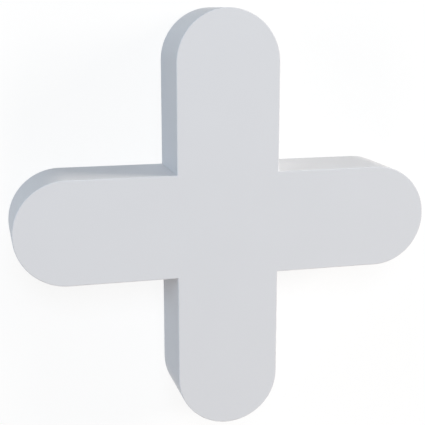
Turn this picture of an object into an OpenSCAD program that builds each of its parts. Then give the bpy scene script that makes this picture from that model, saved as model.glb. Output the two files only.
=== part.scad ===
// Cross-shaped tile spacer, moulded in one piece. Its four arms stand in the joints between four tiles
// and hold the tiles one joint width apart. It lies flat, with its underside on Z = 0 and its centre on
// the Z axis. Millimetres.

/* [Arms] */
// Width of an arm at its underside, which is the joint that the spacer leaves between two tiles
joint_w = 6.35; // [2:0.05:12]
// Distance from the centre of the cross to the tip of an arm, at the underside
arm_reach = 12.75; // [9:0.05:25]

/* [Section] */
// Thickness from the underside to the upper face
thickness = 4.35; // [1:0.05:8]
// Lean of the walls, in degrees, which lets the moulding leave its mould: the upper face is narrower
wall_draft = 0.75; // [0:0.25:3]
// Radius of the fine moulded rounding along the upper and lower edges
edge_r = 0.06; // [0.03:0.01:0.4]

/* [Hidden] */

// Steps in a full turn of a half-round tip's circle
$fn = 96;
// Steps along the quarter turn of an edge rounding
round_steps = 5;
// Directions in which the underside and the upper face look, as angles in the section
face_down = -90;
face_up = 90;
// The tip is a true half-round, so its radius follows from the width of the arm
tip_r = joint_w / 2;
// Distance from the centre of the cross to the start of the half-round tip
straight_reach = arm_reach - tip_r;

// Distance from the middle of the arm to its leaning wall at a height, before the edges are rounded
function wall_at(height) = tip_r - height * tan(wall_draft);
// Distance from the middle of the arm to the centre of an edge rounding that touches the leaning wall
function round_at(height) = wall_at(height) - edge_r / cos(wall_draft);
// Points along an edge rounding whose centre is at a height, between two directions
function edge_arc(height, first, last) = [
    for (step = [0 : round_steps])
        let (turn = first + (last - first) * step / round_steps)
            [round_at(height), height] + edge_r * [cos(turn), sin(turn)]
];

// Right half of an arm's section: X is across the arm from its middle, and Y is the height
module half_section() {
    polygon(concat(
        [[0, 0]],
        edge_arc(edge_r, face_down, wall_draft),
        edge_arc(thickness - edge_r, wall_draft, face_up),
        [[0, thickness]]
    ));
}

// Whole section of an arm, with a leaning wall on each side and all four edges rounded
module arm_section() {
    half_section();
    mirror([1, 0])
        half_section();
}

// Two arms in one line along X, with the straight walls that the tiles bear on
module straight_walls() {
    rotate([90, 0, 90])
        linear_extrude(height = 2 * straight_reach, center = true)
            arm_section();
}

// Half-round tip at the +X end, turned from the same section so that its wall and edges run on unbroken
module round_tip() {
    translate([straight_reach, 0, 0])
        rotate([0, 0, -90])
            rotate_extrude(angle = 180)
                half_section();
}

// One full bar of the cross, along X
module bar() {
    straight_walls();
    round_tip();
    mirror([1, 0, 0])
        round_tip();
}

// The whole spacer: two like bars crossed at their middles, with sharp corners where their walls meet
module spacer() {
    color([0.83, 0.835, 0.85]) {
        bar();
        rotate([0, 0, 90])
            bar();
    }
}

spacer();
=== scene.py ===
"""Tile spacer: a cross of pale grey moulded plastic, lying flat on a white table under soft studio light.

Lengths are in metres. The origin is the centre of the cross on the table, +Z is up, and +Y points to the top of the
picture.
"""

import math

import bpy
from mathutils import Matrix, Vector


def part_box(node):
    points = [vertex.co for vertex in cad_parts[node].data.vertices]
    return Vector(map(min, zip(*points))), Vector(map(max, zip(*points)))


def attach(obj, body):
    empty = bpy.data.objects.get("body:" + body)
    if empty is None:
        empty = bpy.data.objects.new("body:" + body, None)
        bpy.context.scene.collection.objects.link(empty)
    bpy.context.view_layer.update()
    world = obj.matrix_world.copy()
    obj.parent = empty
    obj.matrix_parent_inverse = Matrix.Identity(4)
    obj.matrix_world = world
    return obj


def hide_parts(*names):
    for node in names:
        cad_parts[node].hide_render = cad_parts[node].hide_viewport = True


MM = 0.001

# Shape. The widths and heights come from the frame, and the small sizes are the moulding's own.
WALL_DRAFT = math.radians(0.75)
EDGE_RADIUS = 0.06 * MM
EDGE_STEPS = 6
TIP_STEPS = 48
SMOOTH_UP_TO = math.radians(35)
# Points of the outline that lie nearer than this are one point
MERGE_WITHIN = 0.001 * MM
# An arm's width as a share of the distance from tip to tip, both at the underside
ARM_SHARE = 6.35 / 25.5

# Camera, fitted to the edges in the photograph: high above the table, a little to the left and beyond the middle
CAMERA_AT = (-13.630 * MM, 11.935 * MM, 54.041 * MM)
CAMERA_TURN = (math.radians(-12.225), math.radians(-14.271), math.radians(-0.054))
CAMERA_LENS = 74.86
CAMERA_NEAR = 1 * MM
CAMERA_FAR = 2.0

# Lamps: name, azimuth and elevation seen from the spacer, in degrees, strength, colour, and whether the lamp shows
# in reflections. All are squares of one size at one distance.
LAMP_DISTANCE = 300 * MM
LAMP_SIDE = 125 * MM
LAMPS = (
    ("key", 20, 16, 1.09, (1.0, 0.93, 0.83), False),
    ("cool_side", 170, 12, 0.30, (0.73, 0.87, 1.0), False),
    ("overhead", 100, 62, 0.50, (0.80, 0.90, 1.0), True),
    ("front", 270, 20, 0.45, (1.0, 0.83, 0.70), False),
)
# Even light from all round
WORLD_LIGHT = 0.20
WHITE = (1.0, 1.0, 1.0)

# Table: its side, the grey with which it throws light back, and the share of its white that is its own glow
TABLE_SIDE = 1.2
TABLE_GREY = (0.45, 0.45, 0.45)
TABLE_GLOW = 0.86
# Ring in which the table passes from taking a shadow to plain white
RING_INNER = 25 * MM
RING_OUTER = 60 * MM

# Finish: the plastic's colour in linear values, how far clouds in it go either way, and the pattern of each noise
PLASTIC = (0.66, 0.665, 0.69)
PLASTIC_SPREAD = 0.015
PLASTIC_IOR = 1.5
CLOUDS = {"Scale": 260.0, "Detail": 3.0, "Roughness": 0.55}
GRAIN = {"Scale": 9000.0, "Detail": 4.0, "Roughness": 0.6}
# Roughness of the surface, and what the clouds and the grain add to it at most
ROUGHNESS = 0.50
CLOUD_ROUGHNESS = 0.06
GRAIN_ROUGHNESS = 0.05
# Relief of the grain
GRAIN_STRENGTH = 0.06
GRAIN_DEPTH = 0.02 * MM


class Socket:
    """A shader socket that takes part in Python expressions, which add the Math nodes."""

    def __init__(self, shader, link):
        self.shader = shader
        self.link = link

    def _maths(self, operation, *values):
        return self.shader.node("ShaderNodeMath", {"operation": operation}, *values)

    def __add__(self, other):
        return self._maths("ADD", self, other)

    def __mul__(self, other):
        return self._maths("MULTIPLY", self, other)

    __radd__ = __add__


class Shader:
    """The node tree of a material or of the world, with one method that adds any node."""

    def __init__(self, owner):
        owner.use_nodes = True
        self.owner = owner
        self.tree = owner.node_tree
        self.tree.nodes.clear()

    def node(self, kind, settings=None, *values, output=0, **sockets):
        """Adds a node: its settings first, then the values or links of its sockets in order or by name."""
        made = self.tree.nodes.new(kind)
        for setting, value in (settings or {}).items():
            setattr(made, setting, value)
        named = {name.replace("_", " "): value for name, value in sockets.items()}
        for key, value in list(enumerate(values)) + list(named.items()):
            if isinstance(value, Socket):
                self.tree.links.new(value.link, made.inputs[key])
            elif value is not None:
                made.inputs[key].default_value = value
        return Socket(self, made.outputs[output]) if made.outputs else made

    def mix_colour(self, factor, low, high):
        """A colour between two others."""
        mixed = self.tree.nodes.new("ShaderNodeMix")
        mixed.data_type = "RGBA"
        colours = [socket for socket in mixed.inputs if socket.type == "RGBA"]
        for socket, value in zip([mixed.inputs[0], *colours], (factor, low, high)):
            if isinstance(value, Socket):
                self.tree.links.new(value.link, socket)
            else:
                socket.default_value = value
        result = next(socket for socket in mixed.outputs if socket.type == "RGBA")
        return Socket(self, result)

    def watched(self):
        """1 for a ray that comes straight from the camera, or from a reflection or a clear piece, and 0 for others."""
        path = self.tree.nodes.new("ShaderNodeLightPath")
        camera, glossy, clear = (
            Socket(self, path.outputs[name]) for name in ("Is Camera Ray", "Is Glossy Ray", "Is Transmission Ray")
        )
        return camera + glossy + clear


def opaque(colour, brighter=1.0):
    """A colour with full alpha, made brighter or darker by a factor."""
    return (*(channel * brighter for channel in colour), 1.0)


def moulded_plastic():
    """Satin grey plastic: even colour with the faintest clouding, and the fine grain of a blasted mould."""
    shader = Shader(bpy.data.materials.new("moulded_plastic"))
    place = shader.node("ShaderNodeTexCoord", output="Object")
    clouds = shader.node("ShaderNodeTexNoise", None, Vector=place, **CLOUDS)
    grain = shader.node("ShaderNodeTexNoise", None, Vector=place, **GRAIN)
    colour = shader.mix_colour(clouds, opaque(PLASTIC, 1 - PLASTIC_SPREAD), opaque(PLASTIC, 1 + PLASTIC_SPREAD))
    roughness = ROUGHNESS + clouds * CLOUD_ROUGHNESS + grain * GRAIN_ROUGHNESS
    relief = shader.node("ShaderNodeBump", None, Height=grain, Strength=GRAIN_STRENGTH, Distance=GRAIN_DEPTH)
    surface = shader.node("ShaderNodeBsdfPrincipled", None, Base_Color=colour, Roughness=roughness,
                          Normal=relief, IOR=PLASTIC_IOR)
    shader.node("ShaderNodeOutputMaterial", None, surface)
    return shader.owner


def white_table():
    """Table that looks white to the camera and to reflections, takes a soft shadow near the spacer, and throws back
    less light than it shows."""
    shader = Shader(bpy.data.materials.new("white_table"))
    place = shader.node("ShaderNodeTexCoord", output="Object")
    distance = shader.node("ShaderNodeVectorMath", {"operation": "LENGTH"}, place, output="Value")
    beyond = shader.node("ShaderNodeMapRange", {"interpolation_type": "SMOOTHSTEP"}, Value=distance,
                         From_Min=RING_INNER, From_Max=RING_OUTER)
    watched = shader.watched()
    colour = shader.mix_colour(watched, opaque(TABLE_GREY), opaque(WHITE))
    matt = shader.node("ShaderNodeBsdfDiffuse", None, Color=colour)
    glow = shader.node("ShaderNodeEmission", None, Color=opaque(WHITE))
    share = watched * (TABLE_GLOW + beyond * (1 - TABLE_GLOW))
    surface = shader.node("ShaderNodeMixShader", None, share, matt, glow)
    shader.node("ShaderNodeOutputMaterial", None, surface)
    return shader.owner


def choose(piece, kind, test):
    """Selects the vertices, edges or faces whose corner points pass a test, in edit mode."""
    bpy.ops.mesh.select_mode(type=kind)
    bpy.ops.mesh.select_all(action="DESELECT")
    bpy.ops.object.mode_set(mode="OBJECT")
    points = piece.data.vertices
    if kind == "VERT":
        for point in points:
            point.select = test([point.co])
    else:
        for item in piece.data.edges if kind == "EDGE" else piece.data.polygons:
            item.select = test([points[index].co for index in item.vertices])
    bpy.ops.object.mode_set(mode="EDIT")


def spacer_outline(reach, width):
    """The flat outline of the cross at its underside, as one face: a square whose four sides are drawn out into arms,
    with the tips rounded."""
    half = width / 2
    near = half / 100
    bpy.ops.object.select_all(action="DESELECT")
    bpy.ops.mesh.primitive_plane_add(size=width, location=(0, 0, 0))
    piece = bpy.context.object
    bpy.ops.object.mode_set(mode="EDIT")
    for out in ((1, 0, 0), (-1, 0, 0), (0, 1, 0), (0, -1, 0)):
        side = Vector(out)

        def on_square_side(corners):
            return all(abs(corner.dot(side) - half) < near and corner.length < width for corner in corners)

        choose(piece, "EDGE", on_square_side)
        bpy.ops.mesh.extrude_region_move(TRANSFORM_OT_translate={"value": side * (reach - half)})
    choose(piece, "VERT", lambda corners: corners[0].length > reach)
    bpy.ops.mesh.bevel(affect="VERTICES", offset=half, segments=TIP_STEPS // 2, profile=0.5, clamp_overlap=False)
    bpy.ops.mesh.select_all(action="SELECT")
    bpy.ops.mesh.remove_doubles(threshold=MERGE_WITHIN)
    bpy.ops.mesh.dissolve_faces()
    return piece


def spacer_piece():
    """The moulding: its outline is narrowed by the draft as it rises, and both rims are finely rounded."""
    low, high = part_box("spacer")
    reach = high.x
    width = 2 * reach * ARM_SHARE
    height = high.z - low.z
    piece = spacer_outline(reach, width)
    piece.name = piece.data.name = "spacer_moulding"
    bpy.ops.mesh.select_all(action="SELECT")
    bpy.ops.mesh.inset(thickness=height * math.tan(WALL_DRAFT), use_even_offset=True)
    bpy.ops.transform.translate(value=(0, 0, height))
    bpy.ops.mesh.select_mode(type="EDGE")
    bpy.ops.mesh.select_non_manifold(extend=False)
    bpy.ops.mesh.edge_face_add()
    bpy.ops.mesh.select_all(action="SELECT")
    bpy.ops.mesh.normals_make_consistent(inside=False)
    choose(piece, "EDGE", lambda corners: abs(corners[0].z - corners[1].z) < height / 2)
    bpy.ops.mesh.bevel(offset=EDGE_RADIUS, segments=EDGE_STEPS, profile=0.5, miter_inner="SHARP")
    bpy.ops.object.mode_set(mode="OBJECT")
    bpy.ops.object.shade_smooth_by_angle(angle=SMOOTH_UP_TO)
    even = piece.modifiers.new("even", "WEIGHTED_NORMAL")
    even.keep_sharp = True
    bpy.ops.object.modifier_apply(modifier=even.name)
    return piece


def add_camera():
    data = bpy.data.cameras.new("camera")
    data.lens = CAMERA_LENS
    data.clip_start = CAMERA_NEAR
    data.clip_end = CAMERA_FAR
    camera = bpy.data.objects.new("camera", data)
    camera.location = CAMERA_AT
    camera.rotation_euler = CAMERA_TURN
    bpy.context.scene.collection.objects.link(camera)
    bpy.context.scene.camera = camera


def add_lamp(name, azimuth, elevation, strength, colour, in_reflections):
    """A square lamp that looks at the spacer. At strength 1 it lights a surface that faces it to its own colour.

    A lamp that shows in reflections brightens the rims. The low lamps stay out of them, so that a low view of the
    upper face keeps its grey.
    """
    turn, rise = math.radians(azimuth), math.radians(elevation)
    data = bpy.data.lights.new(name, "AREA")
    data.size = LAMP_SIDE
    data.energy = strength * (math.pi * LAMP_DISTANCE) ** 2
    data.color = colour
    lamp = bpy.data.objects.new(name, data)
    lamp.location = (
        LAMP_DISTANCE * math.cos(rise) * math.cos(turn),
        LAMP_DISTANCE * math.cos(rise) * math.sin(turn),
        LAMP_DISTANCE * math.sin(rise),
    )
    lamp.rotation_euler = (math.pi / 2 - rise, 0, turn + math.pi / 2)
    lamp.visible_camera = False
    lamp.visible_glossy = in_reflections
    bpy.context.scene.collection.objects.link(lamp)


def add_world():
    """Even light from all round, which looks pure white to the camera and to reflections."""
    shader = Shader(bpy.data.worlds.new("studio"))
    room = shader.node("ShaderNodeBackground", None, Color=opaque(WHITE), Strength=WORLD_LIGHT)
    white = shader.node("ShaderNodeBackground", None, Color=opaque(WHITE))
    seen = shader.node("ShaderNodeMixShader", None, shader.watched(), room, white)
    shader.node("ShaderNodeOutputWorld", None, seen)
    bpy.context.scene.world = shader.owner


def add_table():
    bpy.ops.object.select_all(action="DESELECT")
    bpy.ops.mesh.primitive_plane_add(size=TABLE_SIDE, location=(0, 0, 0))
    table = bpy.context.object
    table.name = table.data.name = "table"
    table.data.materials.append(white_table())


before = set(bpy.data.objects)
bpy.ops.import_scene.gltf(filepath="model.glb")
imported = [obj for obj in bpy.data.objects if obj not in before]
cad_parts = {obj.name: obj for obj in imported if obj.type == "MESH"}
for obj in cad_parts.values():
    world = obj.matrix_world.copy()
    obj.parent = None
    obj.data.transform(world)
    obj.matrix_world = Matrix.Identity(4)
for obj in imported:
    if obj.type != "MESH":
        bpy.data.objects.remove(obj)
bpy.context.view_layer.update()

piece = spacer_piece()
piece.data.materials.append(moulded_plastic())
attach(piece, "root")
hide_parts("spacer")

add_table()
add_camera()
for lamp in LAMPS:
    add_lamp(*lamp)
add_world()
bpy.context.scene.view_settings.view_transform = "Standard"
